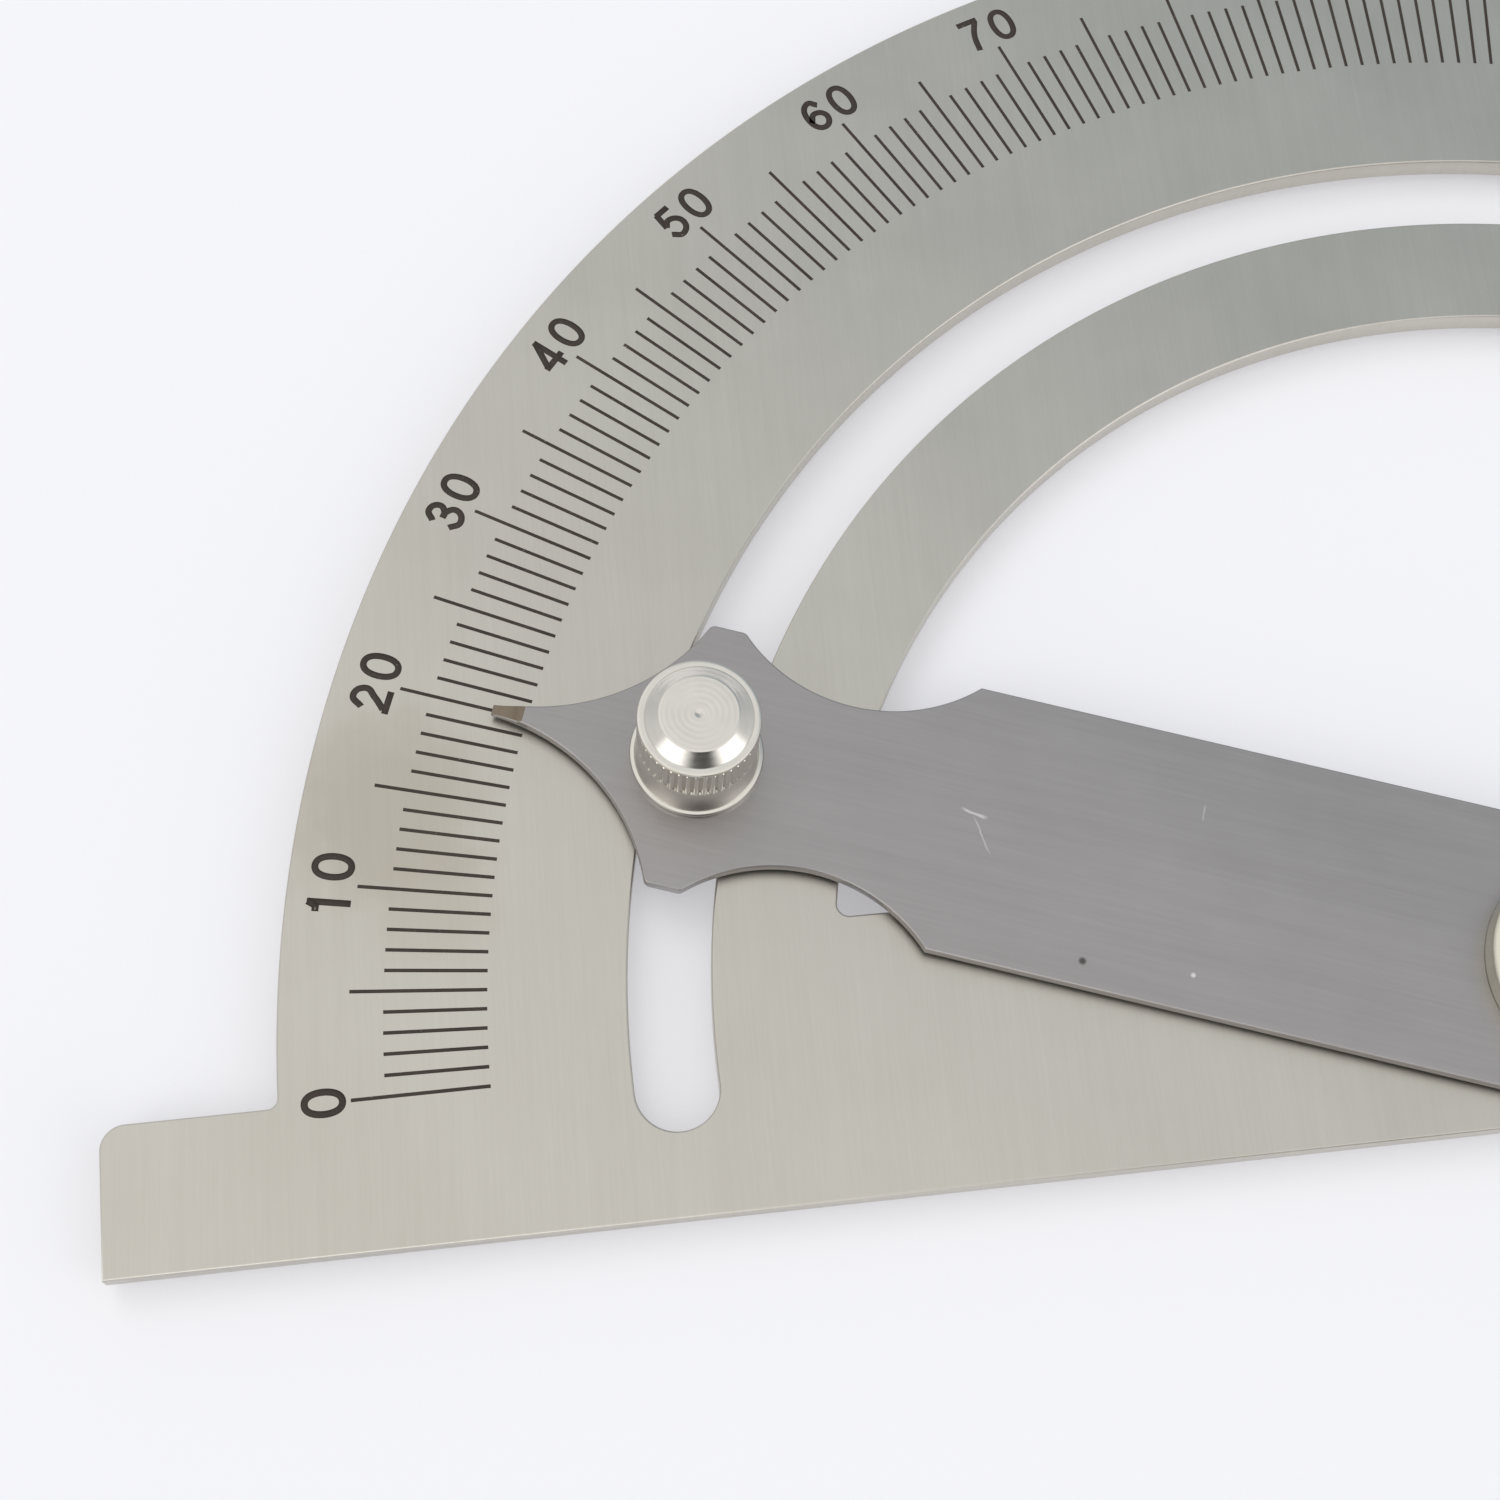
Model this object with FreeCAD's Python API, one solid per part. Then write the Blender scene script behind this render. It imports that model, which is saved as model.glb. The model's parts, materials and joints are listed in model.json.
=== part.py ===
import FreeCAD, Part
import math
import os
from FreeCAD import Vector

# Sheet-steel bevel protractor, in millimetres, lying on its back with +Z up.
# The origin is on the pivot axis, on the surface that the pivot's tail rests on.
# The scale reads from 0 on the -X side, over +Y, to 180 on the +X side.

# Scale plate
arc_radius = 75.0
plate_thickness = 1.5
edge_drop = 8.4                  # pivot line down to the measuring edge
stub_length = 9.7                # base bar past the rim, at each end
stub_corner_radius = 1.4
stub_root_radius = 0.6
plate_edge_break = 0.2

# Clamp slot, and the window between the slot and the base
rim_to_slot = 21.95              # rim to the slot's centre line
slot_width = 4.75
slot_overrun = 1.24              # slot end centres below the 0 to 180 line
slot_to_window = 7.05            # web between the slot and the window
window_sill = 7.76               # pivot line up to the window's straight side
window_corner_radius = 0.7

# Engraved graduation
scale_range = 180
rim_to_line_foot = 11.7
degree_line_length = 5.8
fifth_line_length = 7.7          # every fifth and tenth degree
line_width = 0.22
line_depth = 0.1

# Arm: a straight blade on one side of the pivot, a four-lobed pointer on the other
arm_reading = 19.8
arm_thickness = 0.8
blade_width = 16.5
blade_reach = 134.7              # pivot to the blade's free end
blade_corner_radius = 0.5
lobe_flat = 2.1
lobe_corner_radius = 0.45
waist_length = 14.3
waist_radius = 10.0
pointer_overlap = 2.0            # tip past the foot of the graduation lines
pointer_radius = 12.7
tip_width = 0.6
tip_bevel_length = 1.9
tip_nose_thickness = 0.35
arm_edge_break = 0.1

# Pivot rivet and its washers
pivot_diameter = 6.0
pivot_head_diameter = 13.0
pivot_head_thickness = 1.5
pivot_head_break = 0.4
pivot_tail_diameter = 8.4
pivot_tail_thickness = 0.4
pivot_washer_diameter = 11.0
pivot_washer_thickness = 0.6
spacer_thickness = 0.4
pivot_spacer_diameter = 12.0

# Clamp bolt, its washers and the knurled nut
bolt_diameter = 4.0
bolt_head_diameter = 9.0
bolt_head_break = 0.2
bolt_shoulder_gap = 0.1          # shoulder stops short of the plate's front face
clamp_spacer_diameter = 8.0
nut_washer_diameter = 7.8
nut_washer_thickness = 0.5
nut_washer_break = 0.15
thread_engagement = 3.8
thread_end_gap = 0.6
nut_diameter = 7.0
nut_foot_diameter = 7.3
nut_neck_diameter = 6.5
nut_neck_height = 2.0
knurl_height = 2.9
knurl_count = 44
knurl_depth = 0.24
nut_band_height = 0.4
nut_crown_diameter = 6.2
nut_crown_height = 0.65
nut_face_diameter = 4.5
nut_centre_diameter = 0.5
nut_centre_depth = 0.12

# Clearances
running_clearance = 0.05         # radial, for everything that turns or screws
slot_clearance = 0.075           # each side of the bolt's shoulder in the slot
rivet_clearance = 0.02           # radial, rivet shank in the plate and its washer

# Lengths and radii on the plate
base_half_length = arc_radius + stub_length
slot_radius = arc_radius - rim_to_slot
window_radius = slot_radius - slot_width / 2 - slot_to_window
line_foot_radius = arc_radius - rim_to_line_foot
tip_radius = line_foot_radius + pointer_overlap

# Heights
plate_bottom = pivot_tail_thickness + pivot_washer_thickness
plate_top = plate_bottom + plate_thickness
arm_bottom = plate_top + spacer_thickness
arm_top = arm_bottom + arm_thickness
nut_bottom = arm_top + nut_washer_thickness
bolt_top = nut_bottom + thread_engagement

UP = Vector(0, 0, 1)
AXIS_POINT = Vector(0, 0, 0)


def scale_point(radius, reading, height=0.0):
    angle = math.radians(reading)
    return Vector(-radius * math.cos(angle), radius * math.sin(angle), height)


def turned(profile_points):
    """Solid of revolution about Z from (radius, height) points."""
    points = [Vector(radius, 0, height) for radius, height in profile_points]
    face = Part.Face(Part.makePolygon(points + points[:1]))
    return face.revolve(AXIS_POINT, UP, 360)


def washer(outer_diameter, hole_diameter, thickness, bottom):
    ring = Part.makeCylinder(outer_diameter / 2, thickness, Vector(0, 0, bottom))
    hole = Part.makeCylinder(hole_diameter / 2, thickness, Vector(0, 0, bottom))
    return ring.cut(hole)


def curved_edge(start, end, radius, towards):
    """Arc of a given radius from start to end, bulging towards a point."""
    middle = (start + end) * 0.5
    half_chord = (end - start).Length / 2
    rise = radius - math.sqrt(radius ** 2 - half_chord ** 2)
    across = (end - start).cross(UP).normalize()
    if across.dot(towards - middle) < 0:
        across = across * -1
    return Part.Arc(start, middle + across * rise, end).toShape()


def upright_edges(shape, places):
    """Vertical edges of a shape that stand at the given X, Y places."""
    found = []
    for edge in shape.Edges:
        ends = [vertex.Point for vertex in edge.Vertexes]
        for place in places:
            if len(ends) == 2 and all(math.hypot(p.x - place.x, p.y - place.y) < 1e-4 for p in ends):
                found.append(edge)
    return found


def edges_at_height(shape, height):
    return [edge for edge in shape.Edges
            if abs(edge.BoundBox.ZMin - height) < 1e-6 and abs(edge.BoundBox.ZMax - height) < 1e-6]


def slot_cutter():
    drop = math.degrees(math.asin(slot_overrun / slot_radius))
    inner = slot_radius - slot_width / 2
    outer = slot_radius + slot_width / 2
    first = -drop
    last = scale_range + drop
    middle = (first + last) / 2
    end_step = math.degrees(slot_width / 2 / slot_radius)
    edges = [
        Part.Arc(scale_point(outer, first), scale_point(outer, middle), scale_point(outer, last)).toShape(),
        Part.Arc(scale_point(outer, last), scale_point(slot_radius, last + end_step),
                 scale_point(inner, last)).toShape(),
        Part.Arc(scale_point(inner, last), scale_point(inner, middle), scale_point(inner, first)).toShape(),
        Part.Arc(scale_point(inner, first), scale_point(slot_radius, first - end_step),
                 scale_point(outer, first)).toShape(),
    ]
    return Part.Face(Part.Wire(edges)).extrude(UP * plate_thickness)


def window_cutter():
    half_chord = math.sqrt(window_radius ** 2 - window_sill ** 2)
    left = Vector(-half_chord, window_sill, 0)
    right = Vector(half_chord, window_sill, 0)
    arch = Part.Arc(left, Vector(0, window_radius, 0), right).toShape()
    sill = Part.LineSegment(right, left).toShape()
    opening = Part.Face(Part.Wire([arch, sill])).extrude(UP * plate_thickness)
    return opening.makeFillet(window_corner_radius, upright_edges(opening, [left, right]))


def graduation_cutter():
    grooves = []
    for degree in range(scale_range + 1):
        length = fifth_line_length if degree % 5 == 0 else degree_line_length
        corner = Vector(line_foot_radius, -line_width / 2, plate_thickness - line_depth)
        groove = Part.makeBox(length, line_width, 2 * line_depth, corner)
        groove.rotate(AXIS_POINT, UP, 180 - degree)
        grooves.append(groove)
    return Part.makeCompound(grooves)


def scale_plate():
    half_disc = Part.makeCylinder(arc_radius, plate_thickness, AXIS_POINT, UP, 180)
    base_corner = Vector(-base_half_length, -edge_drop, 0)
    base = Part.makeBox(2 * base_half_length, edge_drop, plate_thickness, base_corner)
    plate = half_disc.fuse(base).removeSplitter()
    stub_ends = [Vector(side * base_half_length, 0, 0) for side in (-1, 1)]
    plate = plate.makeFillet(stub_corner_radius, upright_edges(plate, stub_ends))
    stub_roots = [Vector(side * arc_radius, 0, 0) for side in (-1, 1)]
    plate = plate.makeFillet(stub_root_radius, upright_edges(plate, stub_roots))
    plate = plate.cut(slot_cutter()).cut(window_cutter())
    plate = plate.makeChamfer(plate_edge_break, edges_at_height(plate, plate_thickness))
    rivet_hole = Part.makeCylinder(pivot_diameter / 2 + rivet_clearance, plate_thickness)
    plate = plate.cut(rivet_hole).cut(graduation_cutter())
    plate.translate(UP * plate_bottom)
    return plate


def arm_outline():
    """Arm seen from above with its pointer along +X."""
    half_width = blade_width / 2
    half_tip = tip_width / 2
    lobe_start = slot_radius - lobe_flat / 2
    lobe_end = slot_radius + lobe_flat / 2
    shoulder = lobe_start - waist_length
    on_axis = Vector(slot_radius, 0, 0)
    edges = []
    for side in (-1, 1):
        heel = Vector(-blade_reach, side * half_width, 0)
        neck = Vector(shoulder, side * half_width, 0)
        lobe_inner = Vector(lobe_start, side * half_width, 0)
        lobe_outer = Vector(lobe_end, side * half_width, 0)
        tip = Vector(tip_radius, side * half_tip, 0)
        edges.append(Part.LineSegment(heel, neck).toShape())
        edges.append(curved_edge(neck, lobe_inner, waist_radius, on_axis))
        edges.append(Part.LineSegment(lobe_inner, lobe_outer).toShape())
        edges.append(curved_edge(lobe_outer, tip, pointer_radius, on_axis))
    for reach, half in ((-blade_reach, half_width), (tip_radius, half_tip)):
        edges.append(Part.LineSegment(Vector(reach, -half, 0), Vector(reach, half, 0)).toShape())
    return Part.Wire(Part.__sortEdges__(edges))


def tip_bevel_cutter():
    """Wedge above the sloping nose, carried 1 mm past the tip."""
    slope = (arm_thickness - tip_nose_thickness) / tip_bevel_length
    past_tip = tip_radius + 1
    start = Vector(tip_radius - tip_bevel_length, -blade_width, arm_thickness)
    nose = Vector(past_tip, -blade_width, tip_nose_thickness - slope)
    corner = Vector(past_tip, -blade_width, arm_thickness)
    wedge = Part.Face(Part.makePolygon([start, nose, corner, start]))
    return wedge.extrude(Vector(0, 2 * blade_width, 0))


def arm():
    blade = Part.Face(arm_outline()).extrude(UP * arm_thickness)
    half_width = blade_width / 2
    heels = [Vector(-blade_reach, side * half_width, 0) for side in (-1, 1)]
    blade = blade.makeFillet(blade_corner_radius, upright_edges(blade, heels))
    lobes = [Vector(slot_radius + along * lobe_flat / 2, side * half_width, 0)
             for along in (-1, 1) for side in (-1, 1)]
    blade = blade.makeFillet(lobe_corner_radius, upright_edges(blade, lobes))
    blade = blade.makeChamfer(arm_edge_break, edges_at_height(blade, arm_thickness))
    blade = blade.cut(tip_bevel_cutter())
    pivot_hole = Part.makeCylinder(pivot_diameter / 2 + running_clearance, arm_thickness)
    bolt_hole = Part.makeCylinder(bolt_diameter / 2 + running_clearance, arm_thickness,
                                  Vector(slot_radius, 0, 0))
    blade = blade.cut(pivot_hole).cut(bolt_hole)
    blade.rotate(AXIS_POINT, UP, 180 - arm_reading)
    blade.translate(UP * arm_bottom)
    return blade


def pivot_rivet():
    shank = pivot_diameter / 2
    head = pivot_head_diameter / 2
    tail = pivot_tail_diameter / 2
    head_top = arm_top + pivot_head_thickness
    return turned([
        (0, 0),
        (tail - pivot_tail_thickness / 2, 0),
        (tail, pivot_tail_thickness / 2),
        (tail, pivot_tail_thickness),
        (shank, pivot_tail_thickness),
        (shank, arm_top),
        (head, arm_top),
        (head, head_top - pivot_head_break),
        (head - pivot_head_break, head_top),
        (0, head_top),
    ])


def pivot_back_washer():
    hole = pivot_diameter + 2 * rivet_clearance
    return washer(pivot_washer_diameter, hole, pivot_washer_thickness, pivot_tail_thickness)


def pivot_spacer():
    hole = pivot_diameter + 2 * running_clearance
    return washer(pivot_spacer_diameter, hole, spacer_thickness, plate_top)


def at_clamp(shape):
    """Moves a piece from the origin to the clamp's place on the arm."""
    shape.translate(scale_point(slot_radius, arm_reading))
    return shape


def clamp_bolt():
    head = bolt_head_diameter / 2
    shoulder = slot_width / 2 - slot_clearance
    shank = bolt_diameter / 2
    shoulder_top = plate_top - bolt_shoulder_gap
    return at_clamp(turned([
        (0, 0),
        (head - bolt_head_break, 0),
        (head, bolt_head_break),
        (head, plate_bottom),
        (shoulder, plate_bottom),
        (shoulder, shoulder_top),
        (shank, shoulder_top),
        (shank, bolt_top - running_clearance),
        (shank - running_clearance, bolt_top),
        (0, bolt_top),
    ]))


def clamp_spacer():
    hole = bolt_diameter + 2 * running_clearance
    return at_clamp(washer(clamp_spacer_diameter, hole, spacer_thickness, plate_top))


def nut_washer():
    hole = bolt_diameter / 2 + running_clearance
    rim = nut_washer_diameter / 2
    inner_rim = rim - nut_washer_break
    return at_clamp(turned([
        (hole, arm_top),
        (inner_rim, arm_top),
        (rim, arm_top + nut_washer_break),
        (rim, nut_bottom - nut_washer_break),
        (inner_rim, nut_bottom),
        (hole, nut_bottom),
    ]))


def knurl_cutter(bottom):
    """Vertical V grooves, side by side round the nut."""
    radius = nut_diameter / 2
    pitch = 2 * math.pi * radius / knurl_count
    outside = radius + knurl_depth
    points = [Vector(radius - knurl_depth, 0, bottom),
              Vector(outside, pitch, bottom),
              Vector(outside, -pitch, bottom)]
    groove = Part.Face(Part.makePolygon(points + points[:1])).extrude(UP * knurl_height)
    grooves = []
    for number in range(knurl_count):
        copy = groove.copy()
        copy.rotate(AXIS_POINT, UP, 360 * number / knurl_count)
        grooves.append(copy)
    return grooves


def nut_body():
    foot = nut_foot_diameter / 2
    neck = nut_neck_diameter / 2
    grip = nut_diameter / 2
    crown = nut_crown_diameter / 2
    face = nut_face_diameter / 2
    knurl_bottom = nut_bottom + nut_neck_height
    knurl_top = knurl_bottom + knurl_height
    band_top = knurl_top + nut_band_height
    nut_top = band_top + nut_crown_height
    flare = Part.Arc(Vector(foot, 0, nut_bottom),
                     Vector((foot + 2 * neck) / 3, 0, nut_bottom + nut_neck_height * 0.4),
                     Vector(neck, 0, knurl_bottom)).toShape()
    points = [(neck, knurl_bottom), (grip, knurl_bottom), (grip, band_top), (crown, band_top),
              (face, nut_top), (nut_centre_diameter / 2, nut_top), (0, nut_top - nut_centre_depth),
              (0, nut_bottom), (foot, nut_bottom)]
    sides = Part.makePolygon([Vector(radius, 0, height) for radius, height in points])
    profile = Part.Face(Part.Wire([flare] + sides.Edges))
    return profile.revolve(AXIS_POINT, UP, 360)


def knurled_nut():
    nut = nut_body()
    for groove in knurl_cutter(nut_bottom + nut_neck_height):
        nut = nut.cut(groove)
    bore_depth = thread_engagement + thread_end_gap
    bore = Part.makeCylinder(bolt_diameter / 2 + running_clearance, bore_depth, Vector(0, 0, nut_bottom))
    return at_clamp(nut.cut(bore))


os.makedirs("parts", exist_ok=True)
for build in (scale_plate, arm, pivot_rivet, pivot_back_washer, pivot_spacer,
              clamp_bolt, clamp_spacer, nut_washer, knurled_nut):
    shape = build()
    shape.exportStep("parts/" + build.__name__ + ".step")
    print(build.__name__, "solids", len(shape.Solids), "valid", shape.isValid(), "volume", round(shape.Volume, 2))
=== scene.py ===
import json
import math

import bmesh
import bpy
from mathutils import Matrix, Vector


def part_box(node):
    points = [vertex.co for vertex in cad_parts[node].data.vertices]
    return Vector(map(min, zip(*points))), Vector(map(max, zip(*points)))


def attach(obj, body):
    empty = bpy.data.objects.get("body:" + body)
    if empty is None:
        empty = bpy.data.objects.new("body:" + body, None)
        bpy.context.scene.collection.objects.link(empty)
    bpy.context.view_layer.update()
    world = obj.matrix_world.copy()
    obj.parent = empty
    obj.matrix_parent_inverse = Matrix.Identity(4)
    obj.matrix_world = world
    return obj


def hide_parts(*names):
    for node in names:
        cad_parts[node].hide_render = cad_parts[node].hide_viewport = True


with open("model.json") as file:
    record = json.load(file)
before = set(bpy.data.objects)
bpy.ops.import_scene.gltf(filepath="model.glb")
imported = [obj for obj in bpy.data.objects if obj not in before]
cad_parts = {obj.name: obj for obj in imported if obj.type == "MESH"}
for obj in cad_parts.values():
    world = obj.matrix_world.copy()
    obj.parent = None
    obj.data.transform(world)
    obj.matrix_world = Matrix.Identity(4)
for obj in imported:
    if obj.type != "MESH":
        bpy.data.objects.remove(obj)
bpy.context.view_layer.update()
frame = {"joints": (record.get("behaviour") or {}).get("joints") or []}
mm = 0.001  # pieces are drawn in millimetres, then scaled once
mergeGap = 0.0005  # millimetres
sharpAngle = math.radians(35)
print("frame loaded")


# Node helpers

def addNode(tree, kind, inputs=None, **settings):
    node = tree.nodes.new(kind)
    for name, value in settings.items():
        setattr(node, name, value)
    for socket, value in (inputs or {}).items():
        if isinstance(value, bpy.types.NodeSocket):
            tree.links.new(value, node.inputs[socket])
        else:
            node.inputs[socket].default_value = value
    return node


def maths(tree, operation, first, second=0.0, third=0.5):
    return addNode(tree, "ShaderNodeMath", {0: first, 1: second, 2: third}, operation=operation).outputs[0]


def mixColour(tree, factor, first, second):
    return addNode(tree, "ShaderNodeMix", {0: factor, 6: first, 7: second}, data_type="RGBA").outputs[2]


def smoothRange(tree, value, low, high, toLow=0.0, toHigh=1.0):
    node = addNode(tree, "ShaderNodeMapRange", {0: value, 1: low, 2: high, 3: toLow, 4: toHigh},
                   interpolation_type="SMOOTHSTEP")
    return node.outputs[0]


def cloudNoise(tree, vector, scale, detail, roughness=0.5):
    return addNode(tree, "ShaderNodeTexNoise", {"Vector": vector, "Scale": scale, "Detail": detail,
                                                "Roughness": roughness}).outputs[0]


def newGroup(name, inputs, outputs):
    group = bpy.data.node_groups.new(name, "ShaderNodeTree")
    for title, kind, value in inputs:
        socket = group.interface.new_socket(title, in_out="INPUT", socket_type=kind)
        if value is not None:
            socket.default_value = value
    for title, kind in outputs:
        group.interface.new_socket(title, in_out="OUTPUT", socket_type=kind)
    start = group.nodes.new("NodeGroupInput")
    end = group.nodes.new("NodeGroupOutput")
    return group, start.outputs, end.inputs


def useGroup(tree, group, inputs):
    return addNode(tree, "ShaderNodeGroup", inputs, node_tree=group).outputs


floatKind, vectorKind = "NodeSocketFloat", "NodeSocketVector"


# Shared effects, each one group used by several finishes

def makeGrain():
    # Long fine streaks along Y after the turn, with slow soft mottling over them.
    fineShare, wideShare, wideScale = 0.6, 0.4, 0.17
    tree, given, result = newGroup("steelGrain", [
        ("Vector", vectorKind, None), ("Turn", floatKind, 0.0), ("Across", floatKind, 7000.0),
        ("Along", floatKind, 160.0), ("Mottle", floatKind, 110.0)],
        [("Streaks", floatKind), ("Cloud", floatKind)])
    turned = addNode(tree, "ShaderNodeVectorRotate", {"Vector": given["Vector"], "Angle": given["Turn"]},
                     rotation_type="Z_AXIS").outputs[0]
    stretch = addNode(tree, "ShaderNodeCombineXYZ", {0: given["Across"], 1: given["Along"], 2: given["Along"]})
    drawn = addNode(tree, "ShaderNodeVectorMath", {0: turned, 1: stretch.outputs[0]},
                    operation="MULTIPLY").outputs[0]
    fine = maths(tree, "MULTIPLY", cloudNoise(tree, drawn, 1.0, 3.0, 0.6), fineShare)
    wide = maths(tree, "MULTIPLY", cloudNoise(tree, drawn, wideScale, 2.0), wideShare)
    tree.links.new(maths(tree, "ADD", fine, wide), result["Streaks"])
    tree.links.new(cloudNoise(tree, turned, given["Mottle"], 4.0, 0.55), result["Cloud"])
    return tree


def makePatch():
    # A soft-edged blot with a ragged border.
    borderScale = 420.0
    tree, given, result = newGroup("softPatch", [
        ("Vector", vectorKind, None), ("Place", vectorKind, None), ("Radius", floatKind, 0.005),
        ("Softness", floatKind, 0.7), ("Ragged", floatKind, 0.5)], [("Mask", floatKind)])
    gap = addNode(tree, "ShaderNodeVectorMath", {0: given["Vector"], 1: given["Place"]}, operation="DISTANCE")
    border = maths(tree, "SUBTRACT", cloudNoise(tree, given["Vector"], borderScale, 4.0), 0.5)
    wobble = maths(tree, "MULTIPLY", border, given["Ragged"])
    reach = maths(tree, "ADD", maths(tree, "DIVIDE", gap.outputs["Value"], given["Radius"]), wobble)
    inner = maths(tree, "SUBTRACT", 1.0, given["Softness"])
    tree.links.new(smoothRange(tree, reach, inner, 1.0, 1.0, 0.0), result["Mask"])
    return tree


def makeScratch():
    # One thin line, fading at its ends and wandering a little.
    wanderScale, wanderWidth = 900.0, 0.0004
    tree, given, result = newGroup("scratch", [
        ("Vector", vectorKind, None), ("Place", vectorKind, None), ("Turn", floatKind, 0.0),
        ("Length", floatKind, 0.002), ("Width", floatKind, 0.0001)], [("Mask", floatKind)])
    local = addNode(tree, "ShaderNodeVectorRotate", {"Vector": given["Vector"], "Center": given["Place"],
                                                     "Angle": given["Turn"]}, rotation_type="Z_AXIS")
    offset = addNode(tree, "ShaderNodeVectorMath", {0: local.outputs[0], 1: given["Place"]},
                     operation="SUBTRACT")
    parts = addNode(tree, "ShaderNodeSeparateXYZ", {0: offset.outputs[0]})
    centred = maths(tree, "SUBTRACT", cloudNoise(tree, given["Vector"], wanderScale, 2.0), 0.5)
    sideways = maths(tree, "ADD", parts.outputs[1], maths(tree, "MULTIPLY", centred, wanderWidth))
    along = maths(tree, "DIVIDE", maths(tree, "ABSOLUTE", parts.outputs[0]), given["Length"])
    across = maths(tree, "DIVIDE", maths(tree, "ABSOLUTE", sideways), given["Width"])
    ends = smoothRange(tree, along, 0.5, 1.0, 1.0, 0.0)
    sides = smoothRange(tree, across, 0.3, 1.0, 1.0, 0.0)
    tree.links.new(maths(tree, "MULTIPLY", ends, sides), result["Mask"])
    return tree


steelGrain, softPatch, scratchLine = makeGrain(), makePatch(), makeScratch()


def newMaterial(name):
    material = bpy.data.materials.new(name)
    material.use_nodes = True
    tree = material.node_tree
    shader = tree.nodes["Principled BSDF"]
    place = addNode(tree, "ShaderNodeTexCoord").outputs["Object"]
    return material, tree, shader, place


def overlay(tree, colour, mask, mark):
    return mixColour(tree, maths(tree, "MULTIPLY", mask, mark["amount"]), colour, mark["colour"])


def brushedSteel(name, look):
    # Satin steel with a drawn grain, and any patches and scratches laid over it.
    grainDepth = 0.00002
    material, tree, shader, place = newMaterial(name)
    grain = useGroup(tree, steelGrain, {"Vector": place, "Turn": look["turn"], "Across": look["across"],
                                        "Along": look["along"], "Mottle": look["mottle"]})
    cloud = maths(tree, "SUBTRACT", grain["Cloud"], 0.5)
    mottled = maths(tree, "MULTIPLY_ADD", cloud, look["cloud"], 0.5)
    streaks = maths(tree, "SUBTRACT", grain["Streaks"], 0.5)
    blend = maths(tree, "MULTIPLY_ADD", streaks, look["streak"], mottled)
    colour = mixColour(tree, blend, look["dark"], look["light"])
    for mark in look.get("patches", []):
        blot = useGroup(tree, softPatch, {"Vector": place, "Place": mark["place"], "Radius": mark["radius"]})
        colour = overlay(tree, colour, blot["Mask"], mark)
    for mark in look.get("scratches", []):
        line = useGroup(tree, scratchLine, {"Vector": place, "Place": mark["place"], "Turn": mark["turn"],
                                            "Length": mark["length"], "Width": mark["width"]})
        colour = overlay(tree, colour, line["Mask"], mark)
    tree.links.new(colour, shader.inputs["Base Color"])
    shader.inputs["Metallic"].default_value = 1.0
    smoothest = look["rough"] - look["roughSpread"] / 2
    rough = maths(tree, "MULTIPLY_ADD", grain["Cloud"], look["roughSpread"], smoothest)
    tree.links.new(rough, shader.inputs["Roughness"])
    bump = addNode(tree, "ShaderNodeBump", {"Strength": look["bump"], "Distance": grainDepth,
                                            "Height": grain["Streaks"]})
    tree.links.new(bump.outputs[0], shader.inputs["Normal"])
    return material


# Mesh helpers

def addPiece(name, mesh, body, materials, replaced=()):
    obj = bpy.data.objects.new(name, mesh)
    bpy.context.scene.collection.objects.link(obj)
    for material in materials:
        mesh.materials.append(material)
    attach(obj, body)
    if replaced:
        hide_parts(*replaced)
    print("made", name, len(mesh.polygons), "faces")
    return obj


def arcPoints(centre, radius, start, end, stepLength=0.4):
    count = max(4, math.ceil(abs(math.radians(end - start)) * radius / stepLength))
    points = []
    for step in range(count + 1):
        angle = math.radians(start + (end - start) * step / count)
        points.append((centre[0] + radius * math.cos(angle), centre[1] + radius * math.sin(angle)))
    return points


def heading(centre, point):
    return math.degrees(math.atan2(point[1] - centre[1], point[0] - centre[0]))


def sheetMesh(name, outlines, thickness, edgeRound):
    # Flat sheet with rounded edges: the first outline runs round the sheet, the others are holes.
    curve = bpy.data.curves.new(name, "CURVE")
    curve.dimensions = "2D"
    curve.fill_mode = "BOTH"
    curve.extrude = thickness / 2 - edgeRound
    curve.bevel_depth = edgeRound
    curve.bevel_resolution = 2
    curve.offset = -edgeRound
    for points in outlines:
        spline = curve.splines.new("POLY")
        spline.points.add(len(points) - 1)
        for point, (x, y) in zip(spline.points, points):
            point.co = (x, y, 0, 1)
        spline.use_cyclic_u = True
    holder = bpy.data.objects.new(name + "Outline", curve)
    mesh = bpy.data.meshes.new_from_object(holder)
    bpy.data.objects.remove(holder)
    mesh.name = name
    bm = bmesh.new()
    bm.from_mesh(mesh)
    bmesh.ops.remove_doubles(bm, verts=bm.verts, dist=mergeGap)
    bmesh.ops.recalc_face_normals(bm, faces=bm.faces)
    for face in bm.faces:
        face.smooth = abs(face.normal.z) < 0.999
    bm.to_mesh(mesh)
    bm.free()
    return mesh


def turnedMesh(name, profile, steps):
    # Solid of revolution about Z from (radius, height) points.
    bm = bmesh.new()
    points = [bm.verts.new((radius, 0, height)) for radius, height in held(profile)]
    edges = [bm.edges.new(pair) for pair in zip(points, points[1:])]
    bmesh.ops.spin(bm, geom=points + edges, axis=(0, 0, 1), cent=(0, 0, 0), angle=2 * math.pi, steps=steps,
                   use_merge=True, use_duplicate=False)
    bmesh.ops.remove_doubles(bm, verts=bm.verts, dist=mergeGap)
    bmesh.ops.recalc_face_normals(bm, faces=bm.faces)
    for face in bm.faces:
        face.smooth = True
    mesh = bpy.data.meshes.new(name)
    bm.to_mesh(mesh)
    bm.free()
    mesh.set_sharp_from_angle(angle=sharpAngle)
    return mesh


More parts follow.
